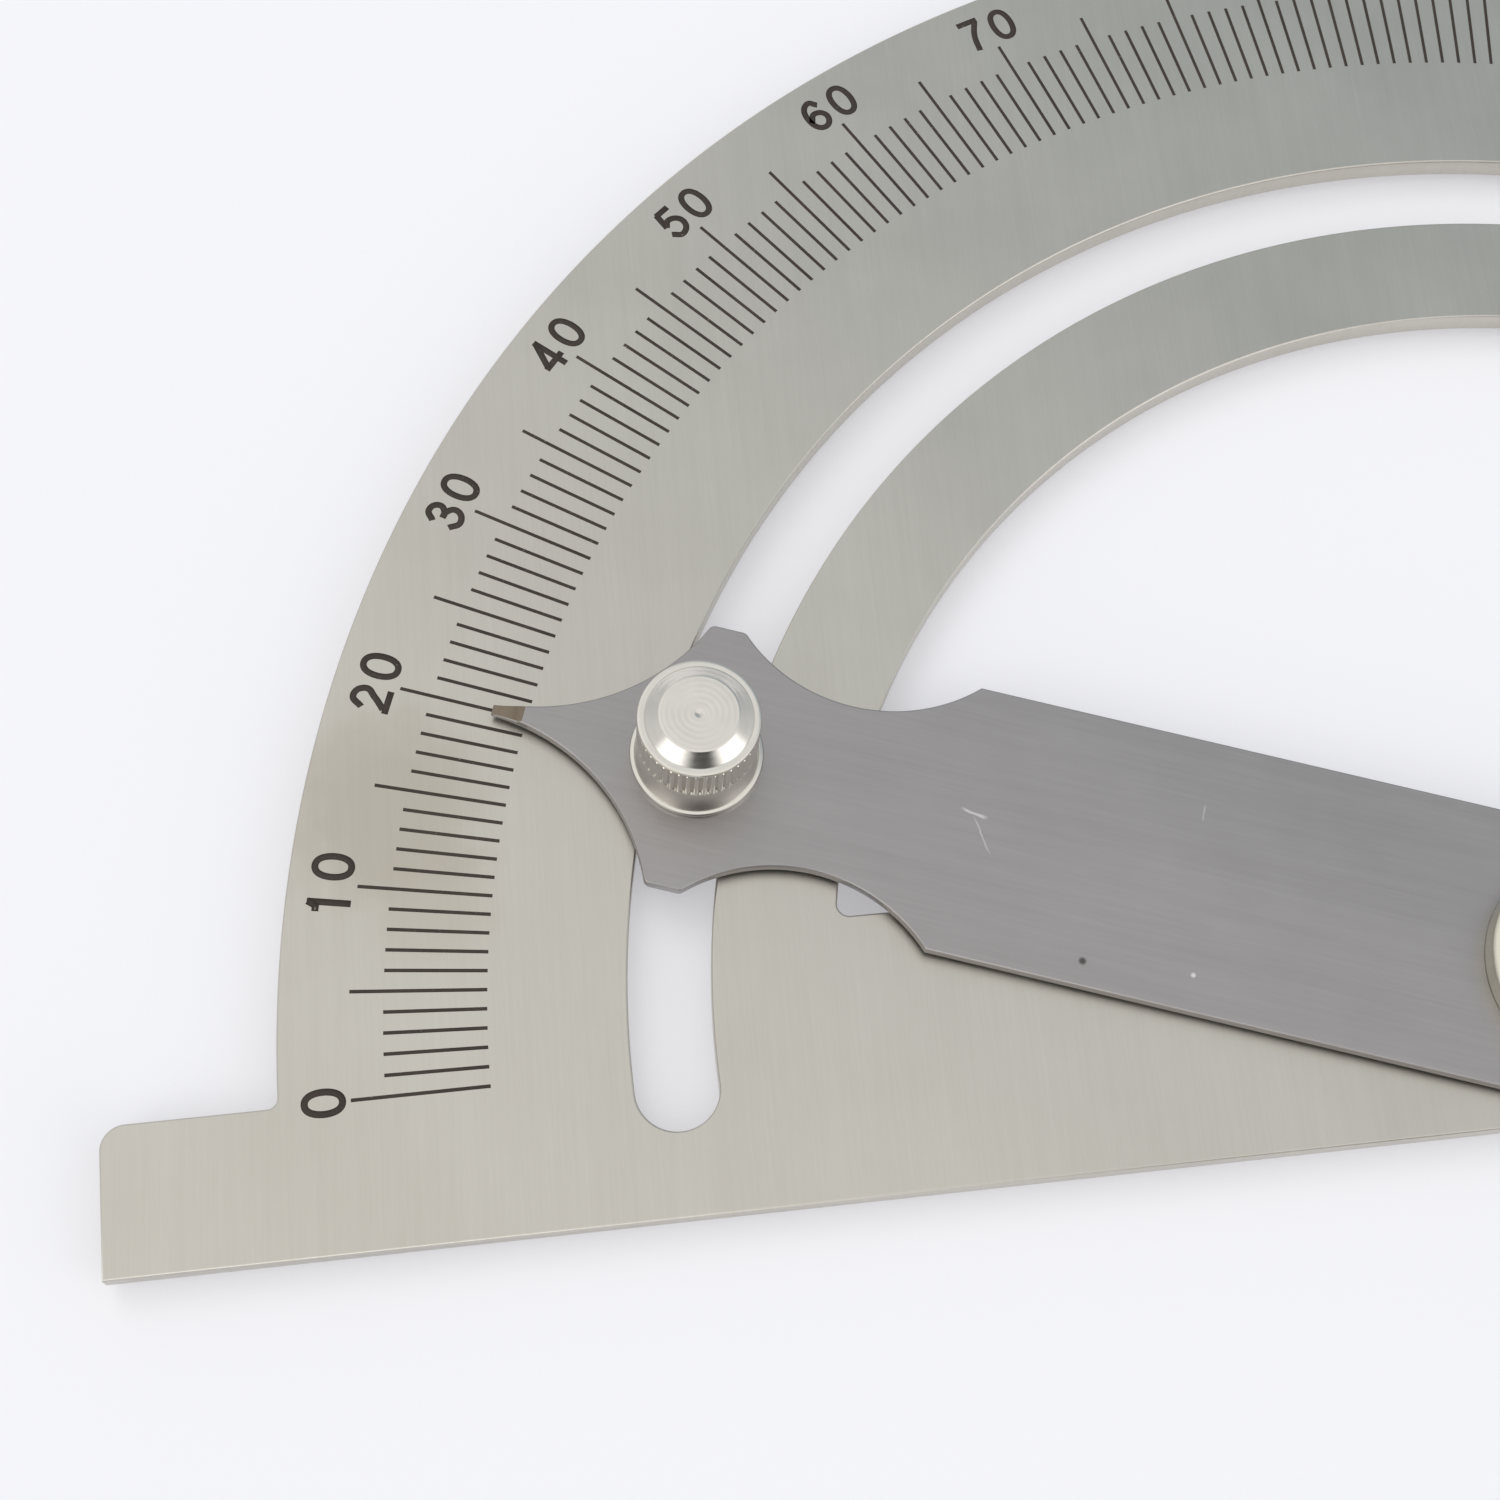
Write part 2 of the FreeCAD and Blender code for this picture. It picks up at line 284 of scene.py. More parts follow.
def held(profile, hold=0.05):
    # Adds a point close to each end of every long run, so that flats shade flat beside rounded edges.
    points = [profile[0]]
    for start, end in zip(profile, profile[1:]):
        length = math.dist(start, end)
        if length > 4 * hold:
            for part in (hold / length, 1 - hold / length):
                points.append((start[0] + (end[0] - start[0]) * part, start[1] + (end[1] - start[1]) * part))
        points.append(end)
    return points


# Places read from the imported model

plateLow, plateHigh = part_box("scale_plate")
armLow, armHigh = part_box("arm")
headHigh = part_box("pivot_rivet")[1]
boltLow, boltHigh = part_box("clamp_bolt")
rimWasherLow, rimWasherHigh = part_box("nut_washer")
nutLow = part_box("knurled_nut")[0]
clampPlace = next(Vector(joint["pos_m"]) for joint in frame["joints"] if joint["name"] == "nut_turn")
pointerAngle = math.atan2(clampPlace.y, clampPlace.x)
slotRadius = clampPlace.xy.length / mm


# Scale plate

scaleSheet = {
    "edgeRound": 0.12, "stubCorner": 1.4, "stubRoot": 0.6,
    "slotWidth": 4.75, "slotOverrun": 1.24, "windowRadius": 43.625, "windowSill": 7.76, "windowCorner": 0.7,
    "pivotHole": 3.02,
}


def plateOutlines():
    size = scaleSheet
    halfBase = plateHigh.x / mm
    bottom = plateLow.y / mm
    rim = plateHigh.y / mm
    root = size["stubRoot"]
    corner = size["stubCorner"]
    rootAngle = math.degrees(math.asin(root / (rim + root)))
    rootX = (rim + root) * math.cos(math.radians(rootAngle))
    outline = [(-halfBase, bottom), (halfBase, bottom)]
    outline += arcPoints((halfBase - corner, -corner), corner, 0, 90, 0.15)
    outline += arcPoints((rootX, root), root, 270, 180 + rootAngle, 0.1)
    outline += arcPoints((0, 0), rim, rootAngle, 180 - rootAngle)[1:-1]
    outline += arcPoints((-rootX, root), root, -rootAngle, -90, 0.1)
    outline += arcPoints((-halfBase + corner, -corner), corner, 90, 180, 0.15)
    half = size["slotWidth"] / 2
    drop = math.degrees(math.asin(size["slotOverrun"] / slotRadius))
    rightEnd = (slotRadius * math.cos(math.radians(drop)), -size["slotOverrun"])
    leftEnd = (-rightEnd[0], rightEnd[1])
    slot = arcPoints((0, 0), slotRadius + half, -drop, 180 + drop)
    slot += arcPoints(leftEnd, half, 180 + drop, 360 + drop, 0.15)[1:-1]
    slot += arcPoints((0, 0), slotRadius - half, 180 + drop, -drop)
    slot += arcPoints(rightEnd, half, 180 - drop, 360 - drop, 0.15)[1:-1]
    radius = size["windowRadius"]
    turn = size["windowCorner"]
    cornerY = size["windowSill"] + turn
    cornerX = math.sqrt((radius - turn) ** 2 - cornerY ** 2)
    tilt = math.degrees(math.atan2(cornerY, cornerX))
    window = arcPoints((cornerX, cornerY), turn, -90, tilt, 0.1)
    window += arcPoints((0, 0), radius, tilt, 180 - tilt)[1:-1]
    window += arcPoints((-cornerX, cornerY), turn, 180 - tilt, 270, 0.1)
    hole = arcPoints((0, 0), size["pivotHole"], 0, 360)[:-1]
    return [outline, slot[::-1], window[::-1], hole[::-1]]


plateSteel = brushedSteel("plateSteel", {
    "turn": 0.03, "across": 7000.0, "along": 160.0, "mottle": 110.0, "streak": 0.55, "cloud": 0.6,
    "dark": (0.50, 0.475, 0.42, 1), "light": (0.66, 0.635, 0.575, 1),
    "rough": 0.34, "roughSpread": 0.12, "bump": 0.25,
    "patches": [
        {"place": (-0.068, 0.017, 0.0025), "radius": 0.008, "amount": 0.45, "colour": (0.42, 0.37, 0.30, 1)},
        {"place": (-0.0655, 0.011, 0.0025), "radius": 0.005, "amount": 0.25, "colour": (0.44, 0.38, 0.30, 1)},
    ],
})


def buildPlate():
    mesh = sheetMesh("scaleSheet", plateOutlines(), (plateHigh.z - plateLow.z) / mm, scaleSheet["edgeRound"])
    middle = (plateHigh.z + plateLow.z) / 2
    mesh.transform(Matrix.Translation((0, 0, middle)) @ Matrix.Scale(mm, 4))
    return addPiece("scaleSheet", mesh, "plate", [plateSteel], ["scale_plate"])


buildPlate()


# Graduation marks and figures

scaleMarks = {
    "foot": 63.3, "degree": 5.8, "fifth": 7.7, "width": 0.21, "proud": 0.004, "sunk": 0.03,
    "figureRadius": 72.5, "figureHeight": 2.5, "stroke": 0.16, "advance": 0.855, "glyphWidth": 0.66,
}


markLook = {
    "dark": (0.030, 0.022, 0.018, 1), "light": (0.062, 0.047, 0.038, 1), "bare": (0.38, 0.34, 0.29, 1),
    "fleckScale": 5200.0, "toneScale": 300.0, "wear": 0.7, "smoothest": 0.45, "roughest": 0.7, "shine": 0.3,
}


def etchedFinish():
    # Brown-black marks, with specks worn back to the steel.
    look = markLook
    material, tree, shader, place = newMaterial("etchedMarks")
    fleck = cloudNoise(tree, place, look["fleckScale"], 3.0, 0.7)
    tone = cloudNoise(tree, place, look["toneScale"], 2.0)
    colour = mixColour(tree, tone, look["dark"], look["light"])
    worn = maths(tree, "MULTIPLY", smoothRange(tree, fleck, 0.64, 0.74), look["wear"])
    colour = mixColour(tree, worn, colour, look["bare"])
    tree.links.new(colour, shader.inputs["Base Color"])
    rough = smoothRange(tree, fleck, 0.3, 0.7, look["smoothest"], look["roughest"])
    tree.links.new(rough, shader.inputs["Roughness"])
    shader.inputs["Specular IOR Level"].default_value = look["shine"]
    return material


etchedMarks = etchedFinish()


def buildMarks():
    size = scaleMarks
    top = plateHigh.z / mm + size["proud"]
    height = size["proud"] + size["sunk"]
    bm = bmesh.new()
    for degree in range(181):
        length = size["fifth"] if degree % 5 == 0 else size["degree"]
        turn = Matrix.Rotation(math.radians(180 - degree), 4, "Z")
        shift = Matrix.Translation((size["foot"] + length / 2, 0, top - height / 2))
        shape = Matrix.Diagonal((length, size["width"], height, 1))
        bmesh.ops.create_cube(bm, size=1, matrix=turn @ shift @ shape)
    mesh = bpy.data.meshes.new("scaleMarks")
    bm.to_mesh(mesh)
    bm.free()
    mesh.transform(Matrix.Scale(mm, 4))
    return addPiece("scaleMarks", mesh, "plate", [etchedMarks])


buildMarks()

# Strokes of each figure: a closed loop, a free curve or a straight run, in parts of the figure's height.
figureStrokes = {
    "0": [("loop", [(0.33, 0.92), (0.08, 0.5), (0.33, 0.08), (0.58, 0.5)])],
    "1": [("line", [(0.33, 0.0), (0.33, 1.0)]), ("line", [(0.10, 0.79), (0.30, 0.79)]),
          ("line", [(0.24, 0.80), (0.33, 0.99)])],
    "2": [("curve", [(0.09, 0.66), (0.33, 0.92), (0.57, 0.68), (0.40, 0.42), (0.14, 0.14)]),
          ("line", [(0.04, 0.08), (0.62, 0.08)])],
    "3": [("curve", [(0.10, 0.72), (0.33, 0.92), (0.54, 0.74), (0.40, 0.54), (0.26, 0.53)]),
          ("curve", [(0.26, 0.53), (0.42, 0.52), (0.58, 0.30), (0.33, 0.08), (0.08, 0.28)])],
    "4": [("line", [(0.46, 0.0), (0.46, 1.0)]), ("line", [(0.02, 0.28), (0.65, 0.28)]),
          ("line", [(0.08, 0.27), (0.46, 0.94)])],
    "5": [("line", [(0.17, 0.92), (0.58, 0.92)]), ("line", [(0.20, 0.94), (0.13, 0.48)]),
          ("curve", [(0.13, 0.50), (0.33, 0.62), (0.58, 0.35), (0.33, 0.08), (0.08, 0.26)])],
    "6": [("curve", [(0.56, 0.74), (0.36, 0.92), (0.09, 0.46), (0.33, 0.08), (0.58, 0.32), (0.34, 0.56),
                     (0.11, 0.36)])],
    "7": [("line", [(0.04, 0.92), (0.62, 0.92)]), ("curve", [(0.56, 0.90), (0.34, 0.48), (0.25, 0.0)])],
    "8": [("loop", [(0.33, 0.92), (0.12, 0.74), (0.33, 0.54), (0.54, 0.74)]),
          ("loop", [(0.33, 0.55), (0.08, 0.31), (0.33, 0.08), (0.58, 0.31)])],
    "9": [("curve", [(0.10, 0.26), (0.30, 0.08), (0.57, 0.54), (0.33, 0.92), (0.08, 0.68), (0.32, 0.44),
                     (0.55, 0.64)])],
}


def figureMesh(text):
    # One number drawn flat, its middle at the origin and its top towards +Y, in parts of the figure's height.
    curve = bpy.data.curves.new("figure" + text, "CURVE")
    curve.dimensions = "3D"
    curve.twist_mode = "Z_UP"
    curve.extrude = scaleMarks["stroke"] / 2
    curve.resolution_u = 10
    cell = scaleMarks["advance"]
    for place, digit in enumerate(text):
        shift = (place - len(text) / 2) * cell + (cell - scaleMarks["glyphWidth"]) / 2
        for layer, (kind, points) in enumerate(figureStrokes[digit]):
            spline = curve.splines.new("BEZIER")
            spline.bezier_points.add(len(points) - 1)
            for knot, (x, y) in zip(spline.bezier_points, points):
                knot.co = (x + shift, y - 0.5, layer * 0.0006)
                knot.tilt = math.pi / 2
                knot.handle_left_type = knot.handle_right_type = "VECTOR" if kind == "line" else "AUTO"
            spline.use_cyclic_u = kind == "loop"
    holder = bpy.data.objects.new("figure" + text, curve)
    bpy.context.scene.collection.objects.link(holder)
    bpy.context.view_layer.update()
    mesh = bpy.data.meshes.new_from_object(holder.evaluated_get(bpy.context.evaluated_depsgraph_get()))
    bpy.data.objects.remove(holder)
    return mesh


def buildFigures():
    size = scaleMarks
    top = plateHigh.z / mm + size["proud"]
    bm = bmesh.new()
    for reading in range(0, 181, 10):
        mesh = figureMesh(str(reading))
        outward = math.radians(180 - reading)
        turn = Matrix.Rotation(outward - math.pi / 2, 4, "Z")
        shift = Matrix.Translation((0, size["figureRadius"], top))
        mesh.transform(turn @ shift @ Matrix.Scale(size["figureHeight"], 4))
        bm.from_mesh(mesh)
        bpy.data.meshes.remove(mesh)
    bmesh.ops.remove_doubles(bm, verts=bm.verts, dist=mergeGap)
    for face in bm.faces:
        if face.normal.z < 0:
            face.normal_flip()
    body = bmesh.ops.extrude_face_region(bm, geom=bm.faces[:])
    moved = [item for item in body["geom"] if isinstance(item, bmesh.types.BMVert)]
    bmesh.ops.translate(bm, verts=moved, vec=(0, 0, -size["proud"] - size["sunk"]))
    bmesh.ops.recalc_face_normals(bm, faces=bm.faces)
    mesh = bpy.data.meshes.new("scaleFigures")
    bm.to_mesh(mesh)
    bm.free()
    mesh.transform(Matrix.Scale(mm, 4))
    return addPiece("scaleFigures", mesh, "plate", [etchedMarks])


buildFigures()


# Arm

armBlade = {
    "edgeRound": 0.09, "width": 16.5, "reach": 134.7, "endCorner": 0.5, "lobeFlat": 2.1, "lobeCorner": 0.45,
    "waistLength": 14.3, "waistRadius": 10.0, "pointerRadius": 12.7, "tipRadius": 65.3, "tipWidth": 0.6,
    "tipBevel": 1.9, "noseThickness": 0.35, "pivotHole": 3.05, "boltHole": 2.05,
}


def bowCentre(start, end, radius, side):
    # Centre of the arc from start to end that bulges to +Y when side is -1.
    middle = Vector(((start[0] + end[0]) / 2, (start[1] + end[1]) / 2))
    chord = Vector((end[0] - start[0], end[1] - start[1]))
    across = Vector((-chord.y, chord.x)).normalized()
    return middle + across * side * math.sqrt(radius ** 2 - (chord.length / 2) ** 2)


def armOutlines():
    # Lower half from the blade's end to the tip, with the pointer along +X, then its mirror image.
    size = armBlade
    edge = -size["width"] / 2
    tip = (size["tipRadius"], -size["tipWidth"] / 2)
    lobeIn = slotRadius - size["lobeFlat"] / 2
    lobeOut = slotRadius + size["lobeFlat"] / 2
    neck = lobeIn - size["waistLength"]
    turn = size["lobeCorner"]
    waist, waistRadius = bowCentre((neck, edge), (lobeIn, edge), size["waistRadius"], -1), size["waistRadius"]
    bow, bowRadius = bowCentre((lobeOut, edge), tip, size["pointerRadius"], -1), size["pointerRadius"]
    innerX = waist.x + math.sqrt((waistRadius + turn) ** 2 - (edge + turn - waist.y) ** 2)
    outerX = bow.x - math.sqrt((bowRadius + turn) ** 2 - (edge + turn - bow.y) ** 2)
    inner, outer = (innerX, edge + turn), (outerX, edge + turn)
    end = size["endCorner"]
    half = arcPoints((-size["reach"] + end, edge + end), end, 180, 270, 0.1)
    half += arcPoints(waist, waistRadius, heading(waist, (neck, edge)), heading(waist, inner), 0.25)
    half += arcPoints(inner, turn, heading(inner, waist), -90, 0.08)[1:]
    half += arcPoints(outer, turn, -90, heading(outer, bow), 0.08)
    half += arcPoints(bow, bowRadius, heading(bow, outer), heading(bow, tip), 0.25)[1:]
    outline = half + [(x, -y) for x, y in reversed(half)]
    pivot = arcPoints((0, 0), size["pivotHole"], 360, 0)[:-1]
    bolt = arcPoints((slotRadius, 0), size["boltHole"], 360, 0)[:-1]
    return [outline, pivot, bolt]


def onArm(along, across, height=0.0037):
    # A point on the arm in metres, from millimetres towards the pointer and across towards the base.
    spot = Matrix.Rotation(pointerAngle, 4, "Z") @ Vector((along * mm, across * mm, 0))
    return (spot.x, spot.y, height)


armSteel = brushedSteel("armSteel", {
    "turn": -pointerAngle - math.pi / 2, "across": 6000.0, "along": 150.0, "mottle": 130.0,
    "streak": 0.8, "cloud": 0.6,
    "dark": (0.32, 0.303, 0.298, 1), "light": (0.445, 0.424, 0.418, 1),
    "rough": 0.36, "roughSpread": 0.12, "bump": 0.22,
    "patches": [
        {"place": onArm(28.9, 6.8), "radius": 0.0003, "amount": 0.8, "colour": (0.05, 0.045, 0.04, 1)},
        {"place": onArm(22.6, 6.1), "radius": 0.0002, "amount": 0.8, "colour": (0.85, 0.85, 0.85, 1)},
    ],
    "scratches": [
        {"place": onArm(36.6, -0.4), "turn": 0.5, "length": 0.0009,
         "width": 0.00012, "amount": 0.7, "colour": (0.8, 0.78, 0.76, 1)},
        {"place": onArm(35.9, 0.8), "turn": 1.3, "length": 0.0014,
         "width": 0.00008, "amount": 0.5, "colour": (0.75, 0.73, 0.71, 1)},
        {"place": onArm(23.6, -3.7), "turn": -1.2, "length": 0.0006,
         "width": 0.00008, "amount": 0.4, "colour": (0.7, 0.68, 0.66, 1)},
    ],
})


groundTip = brushedSteel("groundTip", {
    "turn": -pointerAngle, "across": 5000.0, "along": 400.0, "mottle": 500.0, "streak": 1.0, "cloud": 0.8,
    "dark": (0.16, 0.125, 0.09, 1), "light": (0.30, 0.25, 0.19, 1),
    "rough": 0.42, "roughSpread": 0.1, "bump": 0.3,
})


def buildArm():
    size = armBlade
    thickness = (armHigh.z - armLow.z) / mm
    mesh = sheetMesh("armBlade", armOutlines(), thickness, size["edgeRound"])
    bm = bmesh.new()
    bm.from_mesh(mesh)
    slope = (thickness - size["noseThickness"]) / size["tipBevel"]
    cut = bmesh.ops.bisect_plane(bm, geom=bm.verts[:] + bm.edges[:] + bm.faces[:], dist=0.0001,
                                 plane_co=(size["tipRadius"] - size["tipBevel"], 0, thickness / 2),
                                 plane_no=(slope, 0, 1), clear_outer=True)
    rim = [item for item in cut["geom_cut"] if isinstance(item, bmesh.types.BMEdge)]
    filled = bmesh.ops.edgeloop_fill(bm, edges=rim)
    for face in filled["faces"]:
        face.smooth = False
        face.material_index = 1
    bmesh.ops.recalc_face_normals(bm, faces=bm.faces)
    bm.to_mesh(mesh)
    bm.free()
    middle = (armHigh.z + armLow.z) / 2
    turn = Matrix.Rotation(pointerAngle, 4, "Z")
    mesh.transform(Matrix.Translation((0, 0, middle)) @ turn @ Matrix.Scale(mm, 4))
    return addPiece("armBlade", mesh, "swing_arm", [armSteel, groundTip], ["arm"])


buildArm()


# Turned pieces: pivot, washers, bolt and nut

def turnedFinish(name, look):
    # Turned metal with faint rings round its axis.
    ringDepth, roughDrop, roughRise = 0.000008, 0.03, 0.04
    material, tree, shader, place = newMaterial(name)
    away = [-value for value in look["centre"]]
    centred = addNode(tree, "ShaderNodeMapping", {"Vector": place, "Location": away}, vector_type="POINT")
    rings = addNode(tree, "ShaderNodeTexWave",
                    {"Vector": centred.outputs[0], "Scale": look["rings"], "Distortion": 1.2, "Detail": 2.0,
                     "Detail Scale": 1.5}, wave_type="RINGS", rings_direction="Z")
    cloud = cloudNoise(tree, place, 700.0, 4.0)
    tree.links.new(mixColour(tree, cloud, look["dark"], look["light"]), shader.inputs["Base Color"])
    shader.inputs["Metallic"].default_value = 1.0
    rough = smoothRange(tree, cloud, 0.3, 0.7, look["rough"] - roughDrop, look["rough"] + roughRise)
    tree.links.new(rough, shader.inputs["Roughness"])
    bump = addNode(tree, "ShaderNodeBump", {"Strength": look["bump"], "Distance": ringDepth,
                                            "Height": rings.outputs["Fac"]})
    tree.links.new(bump.outputs[0], shader.inputs["Normal"])
    return material


clampCentre = (clampPlace.x, clampPlace.y, 0)
nutPlating = turnedFinish("nutPlating", {"centre": clampCentre, "rings": 900.0, "dark": (0.66, 0.63, 0.57, 1),
                                         "light": (0.80, 0.77, 0.71, 1), "rough": 0.17, "bump": 0.25})
# Nickel plating on the pivot head; its creamier, yellower colours than the nut's are a painted warm reflection
# laid over the plating's own colour.
pivotPlatingWarmReflection = turnedFinish("pivotPlatingWarmReflection", {"centre": (0, 0, 0), "rings": 500.0, "dark": (0.66, 0.63, 0.52, 1),
                                             "light": (0.80, 0.77, 0.66, 1), "rough": 0.2, "bump": 0.2})
washerSteel = turnedFinish("washerSteel", {"centre": (0, 0, 0), "rings": 500.0, "dark": (0.40, 0.39, 0.37, 1),
                                           "light": (0.56, 0.55, 0.52, 1), "rough": 0.38, "bump": 0.3})
boltSteel = turnedFinish("boltSteel", {"centre": clampCentre, "rings": 500.0, "dark": (0.44, 0.43, 0.41, 1),
                                       "light": (0.60, 0.59, 0.56, 1), "rough": 0.3, "bump": 0.3})

pivotPieces = {"shank": 3.0, "head": 6.5, "headBreak": 0.4, "tail": 4.2, "tailThickness": 0.4, "tailBreak": 0.2,
               "headUnder": 0.08, "steps": 128}
boltPieces = {"shank": 2.0, "head": 4.5, "headBreak": 0.2, "shoulder": 2.3, "shoulderGap": 0.1,
              "tipBreak": 0.05, "steps": 96}
washerPieces = {"edge": 0.06, "steps": 96, "backHole": 3.02, "spacerHole": 3.05, "clampHole": 2.05}


def ringProfile(inner, outer, low, high, edge):
    return [(inner, low), (outer - edge, low), (outer - edge * 0.3, low + edge * 0.3), (outer, low + edge),
            (outer, high - edge), (outer - edge * 0.3, high - edge * 0.3), (outer - edge, high), (inner, high),
            (inner, low)]


def addTurned(name, profile, steps, centre, body, material, replaced):
    mesh = turnedMesh(name, profile, steps)
    mesh.transform(Matrix.Translation(centre) @ Matrix.Scale(mm, 4))
    return addPiece(name, mesh, body, [material], replaced)


def pivotProfile():
    size = pivotPieces
    tail, tailTop, shank, head = size["tail"], size["tailThickness"], size["shank"], size["head"]
    tailBreak, under = size["tailBreak"], size["headUnder"]
    seat = armHigh.z / mm
    top = headHigh.z / mm
    soft = size["headBreak"]
    return [(0, 0), (tail - tailBreak, 0), (tail - tailBreak * 0.3, tailBreak * 0.3), (tail, tailBreak),
            (tail, tailTop), (shank, tailTop), (shank, seat), (head - under, seat), (head, seat + under),
            (head, top - soft), (head - soft * 0.08, top - soft * 0.62), (head - soft * 0.3, top - soft * 0.3),
            (head - soft * 0.62, top - soft * 0.08), (head - soft, top), (0, top)]


def boltProfile():
    size = boltPieces
    low = boltLow.z / mm
    top = boltHigh.z / mm
    seat = plateLow.z / mm
    step = plateHigh.z / mm - size["shoulderGap"]
    return [(0, low), (size["head"] - size["headBreak"], low), (size["head"], low + size["headBreak"]),
            (size["head"], seat), (size["shoulder"], seat), (size["shoulder"], step), (size["shank"], step),
            (size["shank"], top - size["tipBreak"]), (size["shank"] - size["tipBreak"], top), (0, top)]


def buildPivotAndBolt():
    origin = Vector((0, 0, 0))
    clamp = Vector(clampCentre)
    addTurned("pivotHead", pivotProfile(), pivotPieces["steps"], origin, "plate", pivotPlatingWarmReflection,
              ["pivot_rivet"])
    addTurned("clampBolt", boltProfile(), boltPieces["steps"], clamp, "swing_arm", boltSteel,
              ["clamp_bolt"])
    rings = [
        ("backWasher", "pivot_back_washer", washerPieces["backHole"], origin, "plate", washerSteel),
        ("pivotSpacer", "pivot_spacer", washerPieces["spacerHole"], origin, "plate", washerSteel),
        ("clampSpacer", "clamp_spacer", washerPieces["clampHole"], clamp, "swing_arm", boltSteel),
    ]
    for name, node, hole, centre, body, material in rings:
        low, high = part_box(node)
        profile = ringProfile(hole, (high.x - low.x) / 2 / mm, low.z / mm, high.z / mm, washerPieces["edge"])
        addTurned(name, profile, washerPieces["steps"], centre, body, material, [node])


buildPivotAndBolt()

clampNut = {
    "grip": 3.5, "foot": 3.65, "neck": 3.25, "neckHeight": 2.0, "knurlHeight": 2.9, "knurlCount": 44,
    "knurlDepth": 0.22, "toothSteps": 8, "band": 0.4, "crown": 3.1, "crownHeight": 0.65, "face": 2.25,
    "pip": 0.25, "pipDepth": 0.12, "rimWasher": 3.9, "rimHole": 2.05, "rimRound": 0.2,
    "rimSteps": 128, "flareSteps": 8, "flareCurve": 2.2, "gripRows": 4, "edgeBreak": 0.1, "groove": 0.12,
    "soft": 0.02, "knurlMargin": 0.05, "toothFlat": 0.15,
}


def nutProfile():
    size = clampNut
    neck, grip, face, pip = size["neck"], size["grip"], size["face"], size["pip"]
    edge, groove, soft = size["edgeBreak"], size["groove"], size["soft"]
    neckTop = size["neckHeight"]
    knurlTop = neckTop + size["knurlHeight"]
    bandTop = knurlTop + size["band"]
    top = bandTop + size["crownHeight"]
    flare = []
    for step in range(size["flareSteps"] + 1):
        rise = step / size["flareSteps"]
        flare.append((neck + (size["foot"] - neck) * (1 - rise) ** size["flareCurve"], neckTop * rise))
    lower = [(0, 0)] + flare + [(grip - edge, neckTop), (grip, neckTop + edge)]
    rowHeight = (size["knurlHeight"] - 2 * edge) / size["gripRows"]
    rows = [(grip, neckTop + edge + rowHeight * step) for step in range(1, size["gripRows"] + 1)]
    upper = [
        (grip - groove, knurlTop - soft), (grip - groove, knurlTop + 2 * soft), (grip, knurlTop + groove),
        (grip, bandTop - edge), (grip - 0.3 * edge, bandTop - 0.3 * edge), (grip - edge, bandTop),
        (size["crown"], bandTop), (size["crown"] - 1.5 * soft, bandTop + 2 * soft),
        (face + 2.5 * soft, top - soft), (face - soft, top), (pip + soft, top), (pip - 2 * soft, top - soft),
        (0, top - size["pipDepth"])]
    return lower + rows + upper


def knurl(mesh):
    # Presses the straight V grooves into the grip, leaving a narrow flat on each tooth.
    size = clampNut
    margin, flat = size["knurlMargin"], size["toothFlat"]
    low = size["neckHeight"] + margin
    high = size["neckHeight"] + size["knurlHeight"] - margin
    for vert in mesh.vertices:
        x, y, z = vert.co
        if low < z < high and math.hypot(x, y) > size["grip"] - margin:
            turn = math.atan2(y, x) / (2 * math.pi) * size["knurlCount"]
            depth = max(0.0, (1 + flat) * (1 - abs(2 * (turn % 1.0) - 1)) - flat)
            scale = 1 - size["knurlDepth"] * depth / size["grip"]
            vert.co.x = x * scale
            vert.co.y = y * scale
    mesh.set_sharp_from_angle(angle=sharpAngle)


def buildNut():
    size = clampNut
    mesh = turnedMesh("clampNut", nutProfile(), size["knurlCount"] * size["toothSteps"])
    knurl(mesh)
    mesh.transform(Matrix.Translation((clampCentre[0], clampCentre[1], nutLow.z)) @ Matrix.Scale(mm, 4))
    addPiece("clampNut", mesh, "clamp_nut", [nutPlating], ["knurled_nut"])
    profile = ringProfile(size["rimHole"], size["rimWasher"], rimWasherLow.z / mm, rimWasherHigh.z / mm,
                          size["rimRound"])
    addTurned("nutRim", profile, size["rimSteps"], Vector(clampCentre), "clamp_washer", nutPlating,
              ["nut_washer"])


buildNut()


# Floor, light and camera

studio = {
    "floorSize": 3.0, "floorColour": (0.60, 0.597, 0.61, 1), "floorGlow": 0.34,
    "floorTint": (0.95, 0.95, 1.0, 1), "floorRough": 0.7, "floorShine": 0.2, "floorSides": 96,
    "zenith": (1.0, 1.0, 1.0, 1), "horizon": (0.62, 0.63, 0.65, 1),
    "overhead": {"place": (-0.35, 0.5, 0.9), "size": 0.5, "power": 1.2, "colour": (1.0, 0.985, 0.955)},
    "cameraPlace": (-0.05896, -0.03104, 0.13318), "cameraTurn": (21.124, -2.825, -6.695), "lens": 57.335,
    "sensor": 36, "nearest": 0.005, "farthest": 20, "zenithFrom": 0.95,
    "patches": [
        {"toward": (0.52, 0.65, 0.56), "inner": 10, "outer": 44, "colour": (0.44, 0.50, 0.55, 1)},
        {"toward": (0.0, -0.85, 0.52), "inner": 8, "outer": 24, "colour": (0.08, 0.08, 0.08, 1)},
        {"toward": (-0.72, -0.55, 0.42), "inner": 10, "outer": 26, "colour": (1.9, 1.9, 1.9, 1)},
        {"toward": (0.72, -0.55, 0.42), "inner": 10, "outer": 26, "colour": (1.9, 1.9, 1.95, 1)},
    ],
}


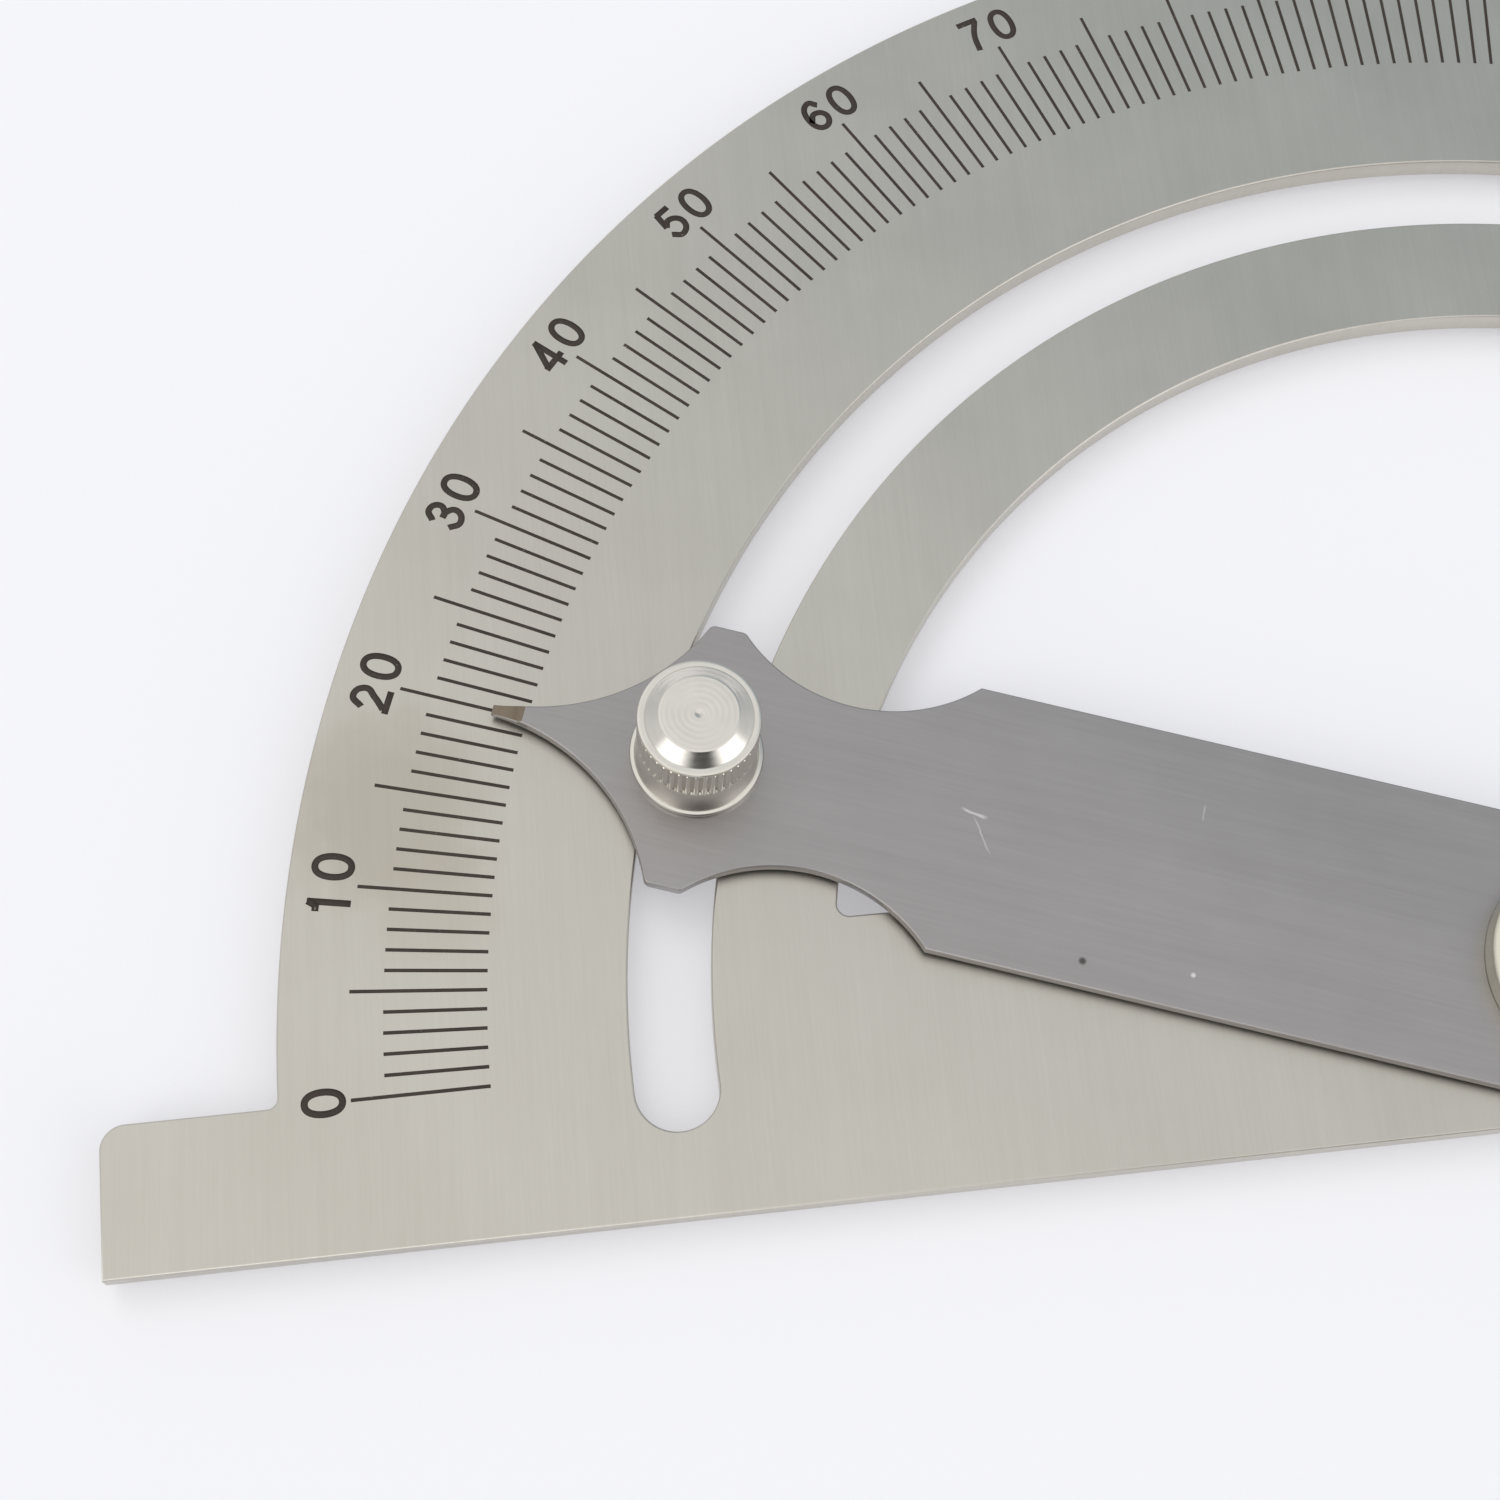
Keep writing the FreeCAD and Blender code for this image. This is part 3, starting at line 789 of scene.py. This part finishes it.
def buildFloor():
    bm = bmesh.new()
    bmesh.ops.create_circle(bm, cap_ends=True, segments=studio["floorSides"], radius=studio["floorSize"] / 2)
    mesh = bpy.data.meshes.new("tableTop")
    bm.to_mesh(mesh)
    bm.free()
    floor = bpy.data.objects.new("tableTop", mesh)
    bpy.context.scene.collection.objects.link(floor)
    material, tree, shader, _ = newMaterial("paleTable")
    shader.inputs["Base Color"].default_value = studio["floorColour"]
    shader.inputs["Roughness"].default_value = studio["floorRough"]
    shader.inputs["Specular IOR Level"].default_value = studio["floorShine"]
    path = addNode(tree, "ShaderNodeLightPath").outputs
    seen = maths(tree, "MAXIMUM", path["Is Camera Ray"], path["Is Glossy Ray"])
    shader.inputs["Emission Color"].default_value = studio["floorTint"]
    tree.links.new(maths(tree, "MULTIPLY", seen, studio["floorGlow"]), shader.inputs["Emission Strength"])
    mesh.materials.append(material)


def buildWorld():
    world = bpy.data.worlds.new("softStudio")
    bpy.context.scene.world = world
    world.use_nodes = True
    tree = world.node_tree
    background = tree.nodes["Background"]
    direction = addNode(tree, "ShaderNodeTexCoord").outputs["Generated"]
    height = addNode(tree, "ShaderNodeSeparateXYZ", {0: direction}).outputs[2]
    rise = smoothRange(tree, height, 0.0, studio["zenithFrom"])
    colour = mixColour(tree, rise, studio["horizon"], studio["zenith"])
    for patch in studio["patches"]:
        toward = Vector(patch["toward"]).normalized()
        facing = addNode(tree, "ShaderNodeVectorMath", {0: direction, 1: toward}, operation="DOT_PRODUCT")
        mask = smoothRange(tree, facing.outputs["Value"], math.cos(math.radians(patch["outer"])),
                           math.cos(math.radians(patch["inner"])))
        colour = mixColour(tree, mask, colour, patch["colour"])
    tree.links.new(colour, background.inputs["Color"])
    background.inputs["Strength"].default_value = 1.0


def buildLamp():
    setting = studio["overhead"]
    lamp = bpy.data.lights.new("overheadBox", "AREA")
    lamp.shape = "SQUARE"
    lamp.size = setting["size"]
    lamp.energy = setting["power"]
    lamp.color = setting["colour"]
    holder = bpy.data.objects.new("overheadBox", lamp)
    holder.location = setting["place"]
    holder.rotation_euler = Vector(setting["place"]).to_track_quat("Z", "Y").to_euler()
    holder.visible_glossy = False
    bpy.context.scene.collection.objects.link(holder)


def buildCamera():
    lens = bpy.data.cameras.new("mainCamera")
    lens.lens = studio["lens"]
    lens.sensor_width = studio["sensor"]
    lens.clip_start = studio["nearest"]
    lens.clip_end = studio["farthest"]
    camera = bpy.data.objects.new("mainCamera", lens)
    camera.location = studio["cameraPlace"]
    camera.rotation_euler = [math.radians(value) for value in studio["cameraTurn"]]
    bpy.context.scene.collection.objects.link(camera)
    bpy.context.scene.camera = camera


buildFloor()
buildWorld()
buildLamp()
buildCamera()
bpy.context.scene.view_settings.view_transform = "Standard"
print("stage set")
